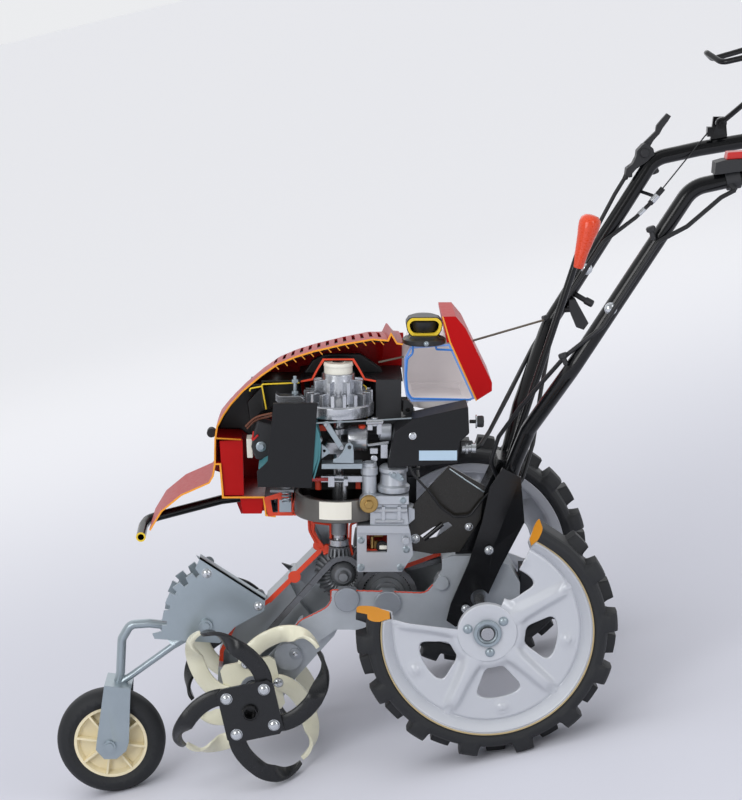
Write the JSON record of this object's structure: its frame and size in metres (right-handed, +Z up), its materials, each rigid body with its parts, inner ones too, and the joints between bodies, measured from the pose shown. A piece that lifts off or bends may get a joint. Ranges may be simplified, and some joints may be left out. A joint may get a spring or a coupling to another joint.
{
  "type": "rotary tiller",
  "caption": "Walk-behind rotary tiller in cutaway: rear drive wheels, centre tines, front gauge wheel, red hood, high handlebars.",
  "frame": {"origin": "floor under the middle of the bounding box", "axes": "+X forward, +Y left, +Z up; origin at the floor"},
  "size_m": [1.344, 0.448, 0.8502],
  "materials": {
    "painted_steel_red": "gloss",
    "black_plastic": "matte",
    "tyre_rubber": "matte",
    "wheel_silver": "satin",
    "die_cast_aluminium": "satin",
    "zinc_plate": "satin",
    "black_paint": "gloss",
    "cream_paint": "satin",
    "cream_plastic": "satin",
    "tank_plastic": "satin",
    "machined_steel": "satin",
    "orange_red_plastic": "gloss",
    "olive_paint": "satin",
    "brass": "satin",
    "grip_rubber": "matte",
    "rope_fibre": "matte"
  },
  "bodies": {
    "chassis": {"drive_axle": "machined_steel", "gauge_bracket": "zinc_plate", "gear_case_right": "die_cast_aluminium", "gear_case_left": "die_cast_aluminium", "bevel_gear_train": "machined_steel", "axle_sprocket": "machined_steel", "rotor_sprocket": "machined_steel", "chain_front": "machined_steel", "chain_rear": "machined_steel", "bevel_pinion": "machined_steel", "bell_housing": "die_cast_aluminium", "clutch_drum": "die_cast_aluminium", "crankshaft": "machined_steel", "engine_block": "die_cast_aluminium", "flywheel": "die_cast_aluminium", "starter_cup": "tank_plastic", "starter_housing": "black_plastic", "shroud_bracket": "black_paint", "brass_plug": "brass", "tank_bracket": "black_plastic", "air_box": "black_plastic", "carburettor": "die_cast_aluminium", "front_shield": "black_plastic", "fuel_tank": "tank_plastic", "fuel_cap": "black_plastic", "hood": "painted_steel_red", "tail_cover": "painted_steel_red", "front_bumper": "black_paint", "bail_brackets": "black_paint", "column": "black_paint", "side_plate": "olive_paint", "handlebar_left": "black_paint", "handlebar_right": "black_paint", "throttle_lever": "black_plastic", "switch_box": "black_plastic", "switch_button": "orange_red_plastic", "switch_cable": "black_plastic", "stop_wire": "black_plastic", "throttle_cable": "black_plastic", "clutch_cable": "black_plastic", "starter_rope": "rope_fibre", "starter_grip": "black_plastic", "rear_hitch": "die_cast_aluminium", "shift_lever": "black_paint", "shift_knob": "orange_red_plastic", "hand_grips": "grip_rubber"},
    "wheel_l": {"tyre_left": "tyre_rubber", "rim_left": "wheel_silver"},
    "wheel_r": {"tyre_right": "tyre_rubber", "rim_right": "wheel_silver"},
    "gauge_arm_body": {"gauge_arm": "zinc_plate"},
    "gauge_wheel": {"gauge_tyre": "tyre_rubber", "gauge_rim": "cream_plastic"},
    "rotor_outer": {"tines_outer": "black_paint", "rotor_shaft": "machined_steel"},
    "rotor_inner": {"tines_inner": "cream_paint", "rotor_sleeve": "machined_steel"},
    "bail": {"clutch_bail": "black_paint"}
  },
  "joints": [
    {"name": "wheel_left_spin", "type": "hinge", "parent": "chassis", "child": "wheel_l", "pos_m": [0.02414, 0.189, 0.1775], "axis": [0, 1, 0], "continuous": true},
    {"name": "wheel_right_spin", "type": "hinge", "parent": "chassis", "child": "wheel_r", "pos_m": [0.02414, -0.189, 0.1775], "axis": [0, 1, 0], "continuous": true},
    {"name": "gauge_arm_tilt", "type": "hinge", "parent": "chassis", "child": "gauge_arm_body", "pos_m": [0.41321, 0, 0.2229], "axis": [0, 1, 0], "range_deg": [-78, 0]},
    {"name": "gauge_wheel_spin", "type": "hinge", "parent": "gauge_arm_body", "child": "gauge_wheel", "pos_m": [0.5935, 0, 0.07863], "axis": [0, 1, 0], "continuous": true},
    {"name": "tines_outer_spin", "type": "hinge", "parent": "chassis", "child": "rotor_outer", "pos_m": [0.36929, 0, 0.12249], "axis": [0, 1, 0], "continuous": true},
    {"name": "tines_inner_spin", "type": "hinge", "parent": "chassis", "child": "rotor_inner", "pos_m": [0.36929, 0, 0.12249], "axis": [0, 1, 0], "continuous": true},
    {"name": "clutch_bail_squeeze", "type": "hinge", "parent": "chassis", "child": "bail", "pos_m": [-0.47474, 0, 0.72684], "axis": [0, 1, 0], "range_deg": [-40, 0]}
  ],
  "couplings": [
    {"joint": "tines_inner_spin", "follows": "tines_outer_spin", "ratio": -1}
  ]
}
